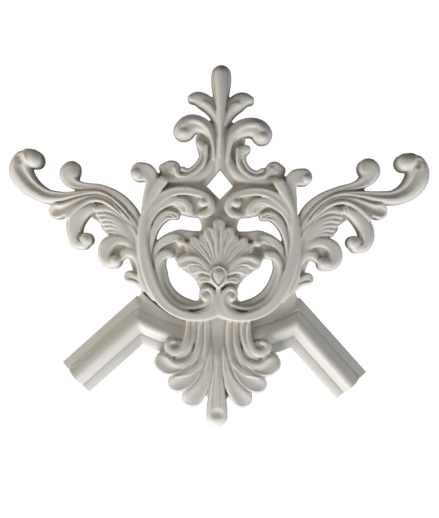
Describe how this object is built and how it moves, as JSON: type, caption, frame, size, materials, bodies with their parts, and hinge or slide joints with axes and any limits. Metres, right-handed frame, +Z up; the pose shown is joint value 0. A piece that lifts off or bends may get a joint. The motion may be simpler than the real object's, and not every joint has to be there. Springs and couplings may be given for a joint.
{
  "type": "decorative corner moulding",
  "caption": "White cast corner ornament for a wall panel frame: mitred moulding arms under an openwork crest of acanthus scrolls, with a hanging shell.",
  "frame": {"origin": "on the flat back, on the centre line, behind the root of the shell", "axes": "+Z up the centre line towards the finial, +X across to the viewer's right, -Y out of the wall towards the viewer; the back lies in the plane Y = 0"},
  "size_m": [0.5213, 0.0361, 0.4487],
  "materials": {
    "primed_foam": "satin white factory primer on rigid polyurethane foam"
  },
  "bodies": {
    "root": {"corner_moulding": "primed_foam"}
  },
  "joints": []
}
